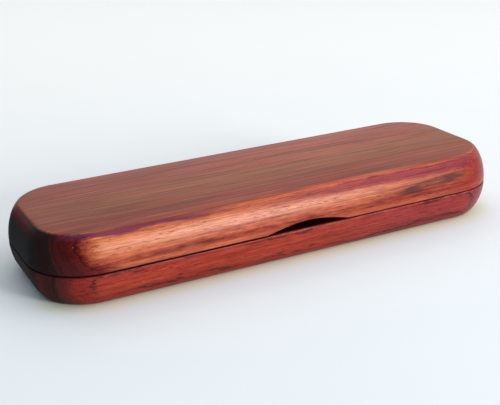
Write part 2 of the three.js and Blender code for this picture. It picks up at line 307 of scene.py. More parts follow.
# %% [markdown]
# ## Turned and sawn shapes
#
# The metal parts and the cutters for their seats are of two kinds. A turned shape is a profile of radius and
# height spun about an axis, and a sawn one is a flat outline given a thickness. Both are small grids.


# %% Turned shapes, blocks and cutting
def turned(name, profile, centre, axis="z", steps=40, sharp=35):
    """Solid of revolution. profile lists (radius, height) from one end of the axis to the other."""
    radius, height = np.array(profile, dtype=float).T[:, :, None]
    angle = np.linspace(0, 2 * np.pi, steps, endpoint=False)[None]
    rounds = radius * np.cos(angle), radius * np.sin(angle)
    level = height + 0 * angle
    parts = (*rounds, level) if axis == "z" else (level, *rounds)
    points = np.stack(parts, axis=-1) + np.array(centre)
    return make_mesh(name, points, grid_faces(*points.shape[:2], around=True), sharp)


def block(name, low, high, corner=0.0, edge=0.0):
    """Upright plate between two corners, with corner its plan radius and edge the easing of its rims."""
    low, high = np.array(low, dtype=float), np.array(high, dtype=float)
    radius = max(corner, 1e-3)
    size = high - low
    path, arrow = outline(size[0], size[1], radius, (1, 1, 6 if corner else 1))
    profile = [(radius, 0), (edge, 0), (0, edge), (0, size[2] - edge), (edge, size[2]), (radius, size[2])]
    inset, height = np.array(profile).T[:, :, None]
    plan = path[None] + (radius - inset)[..., None] * arrow[None] + (low + high)[:2] / 2
    points = at_height(plan, low[2] + height)
    index = np.arange(inset.size * len(path)).reshape(-1, len(path))
    faces = [*grid_faces(*points.shape[:2], around=True), index[0], index[-1]]
    return make_mesh(name, points, faces)


def combine(piece, others, operation, sharp=35):
    """Cuts others out of piece, or joins them to it, and puts the result into the piece's mesh."""
    for other in others:
        step = piece.modifiers.new("combine", "BOOLEAN")
        step.operation = operation
        step.solver = "EXACT"
        step.object = other
    apply_modifiers(piece)
    piece.data.shade_smooth()
    piece.data.set_sharp_from_angle(angle=np.radians(sharp))
    for other in others:
        bpy.data.objects.remove(other)


# %% [markdown]
# ## Seats for the hinges and magnets
#
# Each leaf lies in a shallow mortise, each barrel in a round trough, and each screw and magnet in a bored
# hole. The cutters are set out from the hardware's own boxes with a little air around them.

# %% Seats
SIDES = ("left", "right")
SEAT_AIR = 0.12
BARREL_RADIUS = 1.3
PIN_RADIUS = 0.6
LEAF_THICKNESS = 0.8
BORE_AIR = 0.1
BORE_DEEPER = 0.3
TROUGH_LONGER = 0.5
PIVOT = np.array(frame["joints"][0]["pos_m"]) / MM


def seat_cutters(half, rim, up):
    """Cutters for one half whose rim is at height rim and whose wood lies towards up."""
    cutters = []
    for side in SIDES:
        leaf = f"hinge_{side}_{half}_leaf"
        low, high = span(leaf)
        centre, size = measure(leaf)
        deep = rim + up * (LEAF_THICKNESS + SEAT_AIR)
        shallow = rim - up
        box_low = (low[0] - SEAT_AIR, low[1] - SEAT_AIR, min(deep, shallow))
        box_high = (high[0] + SEAT_AIR, PIVOT[1] + 1, max(deep, shallow))
        cutters.append(block("mortise", box_low, box_high))
        reach = size[0] / 2 + TROUGH_LONGER
        trough = BARREL_RADIUS + 2 * SEAT_AIR
        profile = [(0, -reach), (trough, -reach), (trough, reach), (0, reach)]
        cutters.append(turned("trough", profile, (centre[0], *PIVOT[1:]), axis="x"))
        for number in (1, 2):
            centre, size = measure(f"hinge_{side}_{half}_screw_{number}")
            bore = size[0] / 4 + BORE_AIR
            far = size[2] / 2 + BORE_DEEPER
            profile = [(0, -far), (bore, -far), (bore, far), (0, far)]
            cutters.append(turned("pilot", profile, centre, steps=20))
        centre, size = measure(f"{half}_magnet_{side}")
        bore = size[0] / 2 + BORE_AIR
        thick = size[2] + BORE_AIR
        profile = [(0, -up), (bore, -up), (bore, up * thick), (0, up * thick)]
        cutters.append(turned("magnet_bore", profile, (*centre[:2], rim), steps=48))
    return cutters


combine(lid_wood, seat_cutters("lid", LID_LOW[2], 1), "DIFFERENCE")
combine(base_wood, seat_cutters("base", BASE_HIGH[2], -1), "DIFFERENCE")
print("seats cut; the lid has", len(lid_wood.data.polygons), "faces")

# %% [markdown]
# ## The flocked tray
#
# The insert is a moulding: its top is one height for every place in plan. Two round-ended grooves and a
# finger well across the middle are each the underside of a ball swept along a line, and the top is whichever
# of them lies lowest, blended so that every lip is soft, as flock over a moulded edge always is.

# %% Tray
TRAY_FLOOR = 2.2
GROOVE_RADIUS = 6.1
GROOVE_PITCH = 21
GROOVE_MARGIN = 3
WELL_RADIUS = 12
WELL_MARGIN = 4
LIP = 0.55
TRAY_EDGE = 0.9


def trough_height(along, aside, half_length, radius, bottom):
    """Height of the underside of a ball of that radius swept along a line of half_length each way."""
    away = np.hypot(np.maximum(np.abs(along) - half_length, 0), aside)
    return bottom + radius - np.sqrt(np.maximum(radius**2 - away**2, 0)) + 4 * np.maximum(away - radius, 0)


def soft_lowest(a, b, blend):
    """The lower of two heights, with a round of about blend where they cross."""
    near = np.clip(0.5 + (b - a) / (2 * blend), 0, 1)
    return b * (1 - near) + a * near - blend * near * (1 - near)


def tray_top(x, y, edge_distance):
    """Height of the tray over plan points, with a rounded outer edge edge_distance from the outline."""
    size = TRAY_HIGH - TRAY_LOW
    bottom = TRAY_LOW[2] + TRAY_FLOOR
    groove_half = size[0] / 2 - GROOVE_MARGIN - GROOVE_RADIUS
    well_half = size[1] / 2 - WELL_MARGIN - WELL_RADIUS
    top = np.full_like(x, TRAY_HIGH[2])
    for side in (-1, 1):
        groove = trough_height(x, y - side * GROOVE_PITCH / 2, groove_half, GROOVE_RADIUS, bottom)
        top = soft_lowest(top, groove, LIP)
    top = soft_lowest(top, trough_height(y, x, well_half, WELL_RADIUS, bottom), LIP)
    rounding = 1 - np.clip(edge_distance / TRAY_EDGE, 0, 1)
    return top - TRAY_EDGE * (1 - np.sqrt(1 - rounding**2))


def flocked_tray(rows=150, columns=340):
    """Closed skin of the tray: a height map over its plan, walls down to the floor, and a flat bottom.

    Columns run along x, closer together at the ends; each column is stretched in y to fill the outline."""
    half_x, half_y, _ = (TRAY_HIGH - TRAY_LOW) / 2
    radius = CORNER_RADIUS - (TRAY_LOW[0] - BASE_LOW[0])
    corner_x, corner_y = half_x - radius, half_y - radius
    s = np.linspace(-1, 1, columns)[None]
    t = np.linspace(-1, 1, rows)[:, None]
    x = half_x * (0.72 * s + 0.28 * np.sin(np.pi * s / 2)) + 0 * t
    past = np.clip(np.abs(x) - corner_x, 0, radius)
    reach_y = corner_y + np.sqrt(radius**2 - past**2)
    y = reach_y * (0.8 * t + 0.2 * np.sin(np.pi * t / 2))
    in_corner = np.hypot(np.maximum(np.abs(x) - corner_x, 0), np.maximum(np.abs(y) - corner_y, 0))
    flat = np.maximum(np.abs(x) - corner_x, np.abs(y) - corner_y)
    edge_distance = radius - np.where(in_corner > 0, in_corner, np.minimum(flat, 0))
    z = tray_top(x, y, edge_distance)
    top = np.stack([x, y, z], axis=-1).reshape(-1, 3)
    index = np.arange(rows * columns).reshape(rows, columns)
    border = np.concatenate([index[0], index[1:, -1], index[-1, -2::-1], index[-2:0:-1, 0]])
    floor_points = top[border] * (1, 1, 0) + (0, 0, TRAY_LOW[2])
    ring = rows * columns + np.arange(len(border))
    walls = np.stack([border, ring, np.roll(ring, -1), np.roll(border, -1)], axis=1)
    points = np.concatenate([top, floor_points])
    faces = [*grid_faces(rows, columns).tolist(), *walls.tolist(), ring.tolist()]
    return make_mesh("tray_flocked", points, faces, sharp=60)


tray = flocked_tray()
print("tray", len(tray.data.polygons), "faces")

# %% [markdown]
# ## The padded lining
#
# The lid's lining is velvet pulled over a thin pad and glued to a card, so it is tight at its edges and
# crowns a little between them. That shape is found by letting cloth find it. The panel starts as a closed
# slab, is remeshed into even faces, and is blown up slightly by Blender's cloth solver, with its card side
# kept where it is. The solver likes objects of furniture size, so the panel is simulated ten times larger.

# %% Lid pad
PAD_CORNER = CORNER_RADIUS - RIM_WIDTH - 0.6
PAD_EDGE = 0.7
PAD_START = 1.7
SIM_SCALE = 10
SIM_VOXEL = 0.012
SIM_FRAMES = 16
SIM_PRESSURE = 2.5
SIM_STIFFNESS = 12
RELAX_STEPS = 4


def slab(name, low, high, corner, edge):
    """Closed slab with round corners and half-round edges."""
    size = high - low
    path, arrow = outline(size[0], size[1], corner, (60, 8, 12))
    bend = np.linspace(0, np.pi, 13)
    thickness = min(edge, size[2] / 2)
    inset = thickness * (1 - np.sin(bend))
    rise = thickness * (1 - np.cos(bend))
    height = np.where(bend < np.pi / 2, rise, size[2] - 2 * thickness + rise)
    plan = path[None] + (corner - inset)[:, None, None] * arrow[None]
    plan = capped(plan, path, (1, 0.75, 0.5, 0.25)) + (low + high)[:2] / 2
    height = low[2] + np.pad(height, 4, "edge")
    points = at_height(plan, height[:, None])
    return make_mesh(name, points, grid_faces(*points.shape[:2], around=True), sharp=80)


def swell(piece, card_height):
    """Remeshes a slab evenly and swells it with cloth pressure. Points above card_height are pinned."""
    unit = MM * SIM_SCALE
    piece.data.transform(Matrix.Scale(SIM_SCALE, 4))
    remesh = piece.modifiers.new("even faces", "REMESH")
    remesh.mode = "VOXEL"
    remesh.voxel_size = SIM_VOXEL
    apply_modifiers(piece)
    start = np.empty(len(piece.data.vertices) * 3)
    piece.data.vertices.foreach_get("co", start)
    start = start.reshape(-1, 3)
    card = np.flatnonzero(start[:, 2] > card_height * unit)
    pinned = piece.vertex_groups.new(name="card")
    pinned.add(card.tolist(), 1, "REPLACE")
    cloth = piece.modifiers.new("cloth", "CLOTH")
    settings = cloth.settings
    settings.vertex_group_mass = "card"
    settings.use_pressure = True
    settings.uniform_pressure_force = SIM_PRESSURE
    settings.tension_stiffness = settings.compression_stiffness = SIM_STIFFNESS
    settings.effector_weights.gravity = 0
    cloth.point_cache.frame_end = SIM_FRAMES
    for step in range(1, SIM_FRAMES + 1):
        bpy.context.scene.frame_set(step)
    swollen = np.empty(len(start) * 3)
    result = piece.evaluated_get(bpy.context.evaluated_depsgraph_get()).data
    result.vertices.foreach_get("co", swollen)
    piece.modifiers.clear()
    bpy.context.scene.frame_set(1)
    moved = swollen.reshape(-1, 3) - start
    distance = np.linalg.norm(moved, axis=1, keepdims=True)
    limit = (PAD_HIGH[2] - PAD_LOW[2] - PAD_START) * unit
    moved *= np.minimum(1, limit / np.maximum(distance, 1e-9))
    print("pad swelled by", round(float(distance.max()) / unit, 2), "mm before it was limited")
    return (start + moved) / SIM_SCALE


def lid_lining():
    """The padded panel: a slab on the lid's ceiling, swollen and smoothed, then fitted back into its box."""
    low = np.array([*PAD_LOW[:2] + 0.5, PAD_HIGH[2] - PAD_START])
    high = np.array([*PAD_HIGH[:2] - 0.5, PAD_HIGH[2]])
    piece = slab("lid_lining", low, high, PAD_CORNER, PAD_EDGE)
    points = swell(piece, PAD_HIGH[2] - 0.5) / MM
    points = np.clip(points, PAD_LOW + 0.05, PAD_HIGH)
    piece.data.vertices.foreach_set("co", (points * MM).ravel())
    smooth = piece.modifiers.new("relax", "SMOOTH")
    smooth.iterations = RELAX_STEPS
    finer = piece.modifiers.new("finer", "SUBSURF")
    finer.levels = finer.render_levels = 1
    apply_modifiers(piece)
    piece.vertex_groups.clear()
    piece.data.shade_smooth()
    return piece


lining = lid_lining()
print("lining", len(lining.data.polygons), "faces")

# %% [markdown]
# ## Hinges
#
# A butt hinge is two leaves whose edges are rolled into knuckles and threaded on one pin. The lower leaf has
# the two outer knuckles and the upper leaf the middle one, with a hair of air between them. Each leaf is a
# plate with softened edges, joined to its knuckles, with two countersunk holes.

# %% Hinge leaves
KNUCKLE_AIR = 0.15
BORE_RADIUS = 0.72
KNUCKLE_EDGE = 0.12
LEAF_EDGE = 0.1
LEAF_CORNER = 0.5
HEAD_AIR = 0.1
SHANK_AIR = 0.05
TONGUE_STOP = 0.15


def knuckle(start, end, middle):
    """One rolled knuckle between two places along the pin: a tube with eased ends, closed on itself."""
    r, e = BARREL_RADIUS, KNUCKLE_EDGE
    outside = [(r - e, start), (r, start + e), (r, end - e), (r - e, end)]
    profile = [(BORE_RADIUS, start), *outside, (BORE_RADIUS, end), (BORE_RADIUS, start)]
    return turned("knuckle", profile, (middle, *PIVOT[1:]), axis="x", steps=48)


def hinge_leaf(side, half, up):
    """One leaf: its plate, a tongue at each of its knuckles, the knuckles, and the countersunk holes."""
    node = f"hinge_{side}_{half}_leaf"
    low, high = span(node)
    centre, size = measure(node)
    middle, reach = centre[0], size[0] / 2
    third = reach / 3
    near = PIVOT[2] + up * (LID_LOW[2] - BASE_HIGH[2]) / 2
    far = near + up * LEAF_THICKNESS
    bottom, top = min(near, far), max(near, far)
    clear = PIVOT[1] - BARREL_RADIUS - KNUCKLE_AIR
    plate_low, plate_high = (low[0], low[1], bottom), (high[0], clear, top)
    leaf = block(node + "_brass", plate_low, plate_high, LEAF_CORNER, LEAF_EDGE)
    if half == "base":
        runs = [(-reach, -third - KNUCKLE_AIR), (third + KNUCKLE_AIR, reach)]
    else:
        runs = [(-third + KNUCKLE_AIR, third - KNUCKLE_AIR)]
    tongue = PIVOT[1] - BORE_RADIUS - TONGUE_STOP
    for start, end in runs:
        box_low = (middle + start, clear - 1, bottom + 0.01)
        box_high = (middle + end, tongue, top - 0.01)
        combine(leaf, [block("tongue", box_low, box_high), knuckle(start, end, middle)], "UNION")
    holes = []
    for number in (1, 2):
        centre, size = measure(f"hinge_{side}_{half}_screw_{number}")
        head = size[1] / 2 + HEAD_AIR
        shank = (head + HEAD_AIR) / 2 + SHANK_AIR
        depth = head - shank
        profile = [(0, -up), (head, -up), (head, 0), (shank, up * depth), (shank, up * 2), (0, up * 2)]
        holes.append(turned("countersink", profile, (*centre[:2], near), steps=36))
    combine(leaf, holes, "DIFFERENCE")
    return leaf


HALVES = (("base", -1), ("lid", 1))
leaves = {(side, half): hinge_leaf(side, half, up) for side in SIDES for half, up in HALVES}
print(len(leaves), "leaves")

# %% [markdown]
# ## Pins, screws and magnets
#
# A pin is a length of wire with both ends peened over. A screw is turned, with a countersunk head and a
# sawn slot, and each slot has been left at the angle where its driver stopped. A magnet is a plated disc.

# %% Pins, screws and magnets
SLOT_WIDTH = 0.4
SLOT_DEPTH = 0.32
SLOT_ANGLES = (12, 78, 151, 40, 97, 8, 124, 66)
MAGNET_EDGE = 0.18
PIN_DOME = 0.25
SHANK_RADIUS = 0.7
SCREW_TAPER = 1.4
SCREW_TIP = 0.15


def hinge_pin(side):
    """A wire with a low dome peened at each end."""
    centre, size = measure(f"hinge_{side}_pin")
    head = size[1] / 2
    half = size[0] / 2 - PIN_DOME
    dome = [(head * np.cos(a), half + PIN_DOME * np.sin(a)) for a in np.linspace(0, np.pi / 2, 7)]
    wire = [(PIN_RADIUS, -half), (PIN_RADIUS, half)]
    profile = [(r, -h) for r, h in dome[::-1]] + wire + dome
    return turned(f"hinge_{side}_pin_wire", profile, (centre[0], *PIVOT[1:]), axis="x")


def screw(side, half, number, up, angle):
    """A countersunk screw with its head's face at the rim and a slot sawn across it at an angle."""
    node = f"hinge_{side}_{half}_screw_{number}"
    centre, size = measure(node)
    head, length = size[1] / 2, size[2]
    centre[2] -= up * length / 2
    profile = [
        (0, 0),
        (head - 0.05, 0),
        (head - 0.01, up * 0.05),
        (SHANK_RADIUS, up * (head - SHANK_RADIUS)),
        (SHANK_RADIUS, up * (length - SCREW_TAPER)),
        (SHANK_RADIUS * 0.35, up * (length - SCREW_TIP)),
        (0, up * length),
    ]
    piece = turned(node + "_turned", profile, centre)
    slot = block("slot", (-2, -SLOT_WIDTH / 2, -SLOT_DEPTH), (2, SLOT_WIDTH / 2, SLOT_DEPTH))
    slot.data.transform(Matrix.Translation(centre * MM) @ Matrix.Rotation(np.radians(angle), 4, "Z"))
    combine(piece, [slot], "DIFFERENCE")
    return piece


def magnet(half, side):
    """A plated disc with rounded rims."""
    node = f"{half}_magnet_{side}"
    centre, size = measure(node)
    radius, thick = size[0] / 2, size[2]
    centre[2] -= thick / 2
    e = MAGNET_EDGE
    lower = ease((radius - e, 0), (radius, 0), (radius, e), 4)
    upper = ease((radius, thick - e), (radius, thick), (radius - e, thick), 4)
    profile = [(0, 0), *lower, *upper, (0, thick)]
    return turned(node + "_disc", profile, centre, steps=64)


pins = {side: hinge_pin(side) for side in SIDES}
magnets = {(half, side): magnet(half, side) for half, _ in HALVES for side in SIDES}
angles = iter(SLOT_ANGLES)
screws = {}
for side in SIDES:
    for half, up in HALVES:
        for number in (1, 2):
            screws[side, half, number] = screw(side, half, number, up, next(angles))
print(len(pins), "pins,", len(screws), "screws,", len(magnets), "magnets")

# %% [markdown]
# ## Writing a material as sums
#
# A material is a graph of nodes, but the idea behind one is usually a short formula. The two classes below
# let it be written as one: a Term is a socket that knows how to be added, multiplied and so on, and each
# operation quietly adds the Math node that does it.


# %% Terms and boards
class Term:
    """An output socket that takes part in sums. Each operator adds one Math node to the socket's tree."""

    def __init__(self, board, socket):
        self.board = board
        self.socket = socket

    def math(self, operation, *values):
        return self.board.node("Math", {"operation": operation}, dict(enumerate(values)))

    def __abs__(self):
        return self.math("ABSOLUTE", self)

    def at_least(self, floor):
        return self.math("MAXIMUM", self, floor)

    def between(self, low, high):
        """0 below low, 1 above high and a smooth step between them. low may be above high."""
        if low > high:
            return 1 - self.between(high, low)
        inputs = {"Value": self, "From Min": low, "From Max": high}
        return self.board.node("MapRange", {"interpolation_type": "SMOOTHSTEP"}, inputs)

    def near(self, centre, reach):
        """1 where the term is centre, falling smoothly to 0 where it is reach away."""
        return abs(self - centre).between(reach, 0)


OPERATORS = {"add": "ADD", "sub": "SUBTRACT", "mul": "MULTIPLY", "truediv": "DIVIDE", "pow": "POWER"}
for word, operation in OPERATORS.items():
    setattr(Term, f"__{word}__", lambda a, b, operation=operation: a.math(operation, a, b))
    setattr(Term, f"__r{word}__", lambda a, b, operation=operation: a.math(operation, b, a))


class Board:
    """The node tree of a material or of a world, with its shader and a way to add any node."""

    def __init__(self, owner, constants):
        owner.use_nodes = True
        self.owner = owner
        self.tree = owner.node_tree
        self.shader = next(n for n in self.tree.nodes if n.type in ("BSDF_PRINCIPLED", "BACKGROUND"))
        for socket, value in constants.items():
            self.shader.inputs[socket].default_value = value

    def node(self, kind, settings=None, inputs=None, output=0):
        """Adds a node: its settings first (a ramp's stops among them), then its inputs, each a Term, a number
        or a colour. Returns one of its outputs as a Term. Sockets go by number, identifier or name."""
        node = self.tree.nodes.new("ShaderNode" + kind)
        for key, value in (settings or {}).items():
            if key == "stops":
                self.set_stops(node.color_ramp, value)
            else:
                setattr(node, key, value)
        for key, value in (inputs or {}).items():
            self.feed(self.pick(node.inputs, key), value)
        return Term(self, self.pick(node.outputs, output))

    def pick(self, sockets, key):
        """The socket with a number, an identifier or a name."""
        if isinstance(key, int):
            return sockets[key]
        return next(s for s in sockets if s.identifier == key or (s.name == key and s.enabled))

    def feed(self, socket, value):
        """Links a Term to an input socket, or sets the socket to a number or a colour."""
        if isinstance(value, Term):
            self.tree.links.new(value.socket, socket)
        else:
            socket.default_value = (*value, 1) if isinstance(value, tuple) else value

    def set_stops(self, ramp, stops):
        """Gives a colour ramp its (position, colour) stops."""
        while len(ramp.elements) < len(stops):
            ramp.elements.new(0.5)
        for element, (position, shade) in zip(ramp.elements, stops):
            element.position = position
            element.color = (*shade, 1)

    def output(self, links):
        """Feeds the shader's inputs, by name, and returns the material or world."""
        for socket, value in links.items():
            self.feed(self.shader.inputs[socket], value)
        return self.owner

    def axes(self, vector):
        """The three parts of a vector, as Terms."""
        return [self.node("SeparateXYZ", None, {0: vector}, output=i) for i in range(3)]

    def place(self):
        """Object coordinates as three Terms, in millimetres."""
        return [part / MM for part in self.axes(self.node("TexCoord", output="Object"))]

    def noise(self, place, detail=2.0, roughness=0.5):
        """Noise of feature size 1, about 0.5 on average, at three coordinates or along one Term."""
        inputs = {"Scale": 1.0, "Detail": detail, "Roughness": roughness}
        if isinstance(place, Term):
            return self.node("TexNoise", {"noise_dimensions": "1D"}, {"W": place, **inputs})
        vector = self.node("CombineXYZ", None, dict(enumerate(place)))
        return self.node("TexNoise", None, {"Vector": vector, **inputs})

    def mix(self, amount, first, second, blend="MIX"):
        """Mixes two colours by amount."""
        settings = {"data_type": "RGBA", "blend_type": blend, "clamp_factor": True}
        inputs = {"Factor_Float": amount, "A_Color": first, "B_Color": second}
        return self.node("Mix", settings, inputs, output="Result_Color")

    def paint(self, tone, *coats, blend="MIX"):
        """Lays coats over a tone one after another, each an amount and a colour."""
        for amount, shade in coats:
            tone = self.mix(amount, tone, shade, blend)
        return tone

    def stain(self, tone, *coats):
        """Multiplies a tone by coats one after another, each an amount and a factor for each channel."""
        return self.paint(tone, *coats, blend="MULTIPLY")

    def ramp(self, value, stops):
        """Colour read off a list of (position, colour) stops."""
        return self.node("ValToRGB", {"stops": stops}, {0: value})

    def bump(self, height, distance, strength=1.0):
        """Surface normal disturbed by a height, distance millimetres high where it is 1."""
        inputs = {"Height": height, "Distance": distance * MM, "Strength": strength}
        return self.node("Bump", None, inputs)


def colour(red, green, blue):
    """Linear colour from the 0 to 255 values that a paint chart gives."""
    s = np.array([red, green, blue]) / 255
    return tuple(np.where(s <= 0.04045, s / 12.92, ((s + 0.055) / 1.055) ** 2.4).tolist())


def band(*stops):
    """Stops of a colour ramp from rows of position, red, green and blue."""
    return [(position, colour(*shade)) for position, *shade in stops]


print("a Term can", ", ".join(OPERATORS), "and their reflections")

# %% [markdown]
# ## Rosewood
#
# Wood grain is a solid pattern: growth layers run through the whole block, and the surface shows wherever
# the cutter happened to leave them. So the material first works out depth, how far a point lies behind the
# outermost layer, measured square to the layers. The layers run along the case and stand nearly upright, so
# the flat top cuts them edge-on into fine straight lines, while the front wall runs almost along them and
# shows broad figure that closes in arches round the corners. Slow noise makes the layers wander and quick
# noise frays them, and where a dark layer meets the surface it draws a jagged line.
#
# Over that come the things that are not layers: long fibres, open pores, a purple streak below the top edge,
# an eye where a knot was near, end grain at both ends that is rougher at the left, and pale lines along the
# edges that are partly rubbed wear and partly painted highlight. Painted shade is laid over it too: the left
# end, which faces away from the light, is painted near black, partly as darker end grain; the lid is darker
# towards that end; and the parting seam and the rim round the notch are darkened. A painted sheen pales the
# top towards the back.

# %% Rosewood colours
FLAME = colour(162, 75, 49)
RED = colour(132, 34, 24)
HEART = colour(118, 40, 29)
PURPLE = colour(92, 26, 56)
MAGENTA = colour(124, 32, 50)
OLIVE = colour(104, 70, 50)
ROSE = colour(156, 84, 76)
INK = colour(24, 8, 10)
BARE = colour(214, 146, 118)
# near-black painted shade for the parting seam and the rim land round the notch
PAINTED_SHADE = colour(34, 6, 10)
LID_SKIN = band(
    (0.0, 184, 102, 65),
    (0.09, 162, 75, 49),
    (0.17, 112, 24, 16),
    (0.4, 84, 15, 12),
    (0.85, 74, 13, 12),
    (0.95, 46, 10, 12),
)
BASE_SKIN = band(
    (0.0, 150, 52, 36),
    (0.08, 132, 38, 28),
    (0.3, 132, 34, 24),
    (0.5, 100, 20, 16),
    (0.85, 64, 14, 16),
)
# the flat top from front to back: partly its own brown, partly a painted sheen that pales and greys it
# towards the back
TOP_WITH_PAINTED_SHEEN = band(
    (0.0, 132, 55, 42),
    (0.2, 144, 66, 48),
    (0.45, 146, 87, 60),
    (0.7, 154, 82, 66),
    (1.0, 158, 92, 86),
)
SKIN_DEPTH = 8
TOP_HALF_WIDTH = 25
print("skins of", len(LID_SKIN), "and", len(BASE_SKIN), "stops over", SKIN_DEPTH, "mm")

# %% [markdown]
# Marks are told where they belong by the same few masks, each a pair of limits for one coordinate in
# millimetres: 0 at the first and 1 at the second.

# %% Places on the case
FRONT_WALL = (-20, -24)
FRONT_CURVE = (-6, -14)
FLAT_TOP = (24.2, 24.75)
UNDER_TOP = (24.4, 23.4)
LEFT_END = (-83, -87)
PAST_LEFT_CORNER = (-72, -62)
LAND = (0.7, 1.1)
OUTSIDE_LAND = LAND[::-1]
print("flat top from", FLAT_TOP[1], "mm up, front wall from", FRONT_WALL[1], "mm")


# %% Rosewood layers
def layer_depth(board, point, lean, outermost, seed):
    """Millimetres behind the outermost layer, square to layers that lean by lean degrees from upright.

    depth = outermost + y cos(lean) - z sin(lean) + wander + fray"""
    x, y, z = point
    turn = np.radians(lean)
    shifted = x + seed * 37
    wander = board.noise((shifted / 60, y / 26, z / 20)) - 0.5
    fray = board.noise((shifted / 6, y / 2.6, z / 1.5), 2.0, 0.55) - 0.5
    return outermost + y * np.cos(turn) - z * np.sin(turn) + wander * 1.2 + fray * 1.7


def plan_inset(x, y):
    """How far a point lies inside the outline of the case, seen from above."""
    past_x = (abs(x) - (LENGTH / 2 - CORNER_RADIUS)).at_least(0)
    past_y = (abs(y) - (WIDTH / 2 - CORNER_RADIUS)).at_least(0)
    return CORNER_RADIUS - (past_x**2 + past_y**2) ** 0.5


def grain(board, point, tone, side, seed):
    """Long fibres in two weights over a tone, and open pores. side is 1 where fibres lie in the surface
    and 0 where it cuts them across. Returns the tone, the fibres and the pores."""
    x, y, z = point
    broad = board.noise((x / 55 + seed, y * 0.9, z * 0.9), 3.0, 0.6)
    thin = board.noise((x / 22 + seed, y * 3.0, z * 3.0), 2.0, 0.6)
    lines = board.noise((x / 80, y * 1.7, z * 0.4))
    flecks = board.noise((x / 3.5 + seed, y * 4, z * 4), 1.0) - 0.5
    top = z.between(24.0, 24.6)
    wall = side * (1 - top)
    olive = broad.between(0.51, 0.6) * top * 0.6
    rosy = broad.between(0.46, 0.38) * top * 0.4
    tone = board.paint(tone, (olive, OLIVE), (rosy, ROSE))
    tone = board.stain(
        tone,
        (broad.between(0.52, 0.6) * wall, (0.72, 0.7, 0.7)),
        (thin.between(0.54, 0.66) * side, (0.66, 0.56, 0.6)),
        (thin.between(0.46, 0.34) * side, (1.2, 1.3, 1.3)),
        (lines.between(0.54, 0.64) * top, (0.7, 0.64, 0.6)),
        (lines.between(0.46, 0.36) * top, (1.25, 1.25, 1.2)),
        (flecks.between(0.02, 0.2) * wall, (0.75, 0.68, 0.68)),
        (flecks.between(-0.02, -0.2) * wall, (1.15, 1.25, 1.25)),
    )
    rows = board.noise((x / 16 + seed, y / 2, z / 1.5), 1.0).between(0.52, 0.62) * (1 - top)
    pores = board.noise((x / 1.9 + seed, y * 4, z * 4), 0.0).between(0.7, 0.78) * rows * side
    return board.mix(pores * 0.8, tone, INK), thin + flecks, pores


# %% [markdown]
# The lid and the base are cut from the same board, but not from the same depth in it. Their layers lean
# opposite ways, so each gets its own lean and its own colours from the outermost layer inwards.


# %% Lid and base
def rim_painted_shade(point, inset, seam_height, seam_reach, land_heights, weight):
    """Amount of painted shade on a rim: a dark seam along its outside, where the parting gap lies in shade,
    and its flat land, darkest round the notch, where the lid shades it.
    """
    x, y, z = point
    seam = z.near(seam_height, 0.75) * x.between(*seam_reach) * inset.between(*OUTSIDE_LAND)
    # painted shade is darkest round the notch, where the lid shades the rim
    near_notch = x.near(NOTCH_CENTRE, 30) * y.between(-18, -22) * 0.7 + 0.3
    return (seam * weight + inset.between(*LAND) * z.between(*land_heights) * near_notch).between(0, 1)


def eye(board, x, y, z):
    """Amount of the dark eye that a knot left near the right end: a ragged, slightly tilted ellipse whose
    tips and upper edge are darkest."""
    along = (x - 55.5) / 14.5
    across = (z - 17.7 - (x - 55.5) * 0.07) / 1.7
    away = (along**2 + across**2) ** 0.5 + (board.noise((x / 8, y, z * 1.3)) - 0.5) * 0.7
    tips = abs(along).between(0.2, 0.6)
    lash = away.near(0.95, 0.35) * across.between(0, 0.4)
    iris = away.between(1.2, 0.75) * y.between(*FRONT_WALL)
    return iris * (tips * 0.3 + lash * 0.3 + 0.5).between(0, 1)


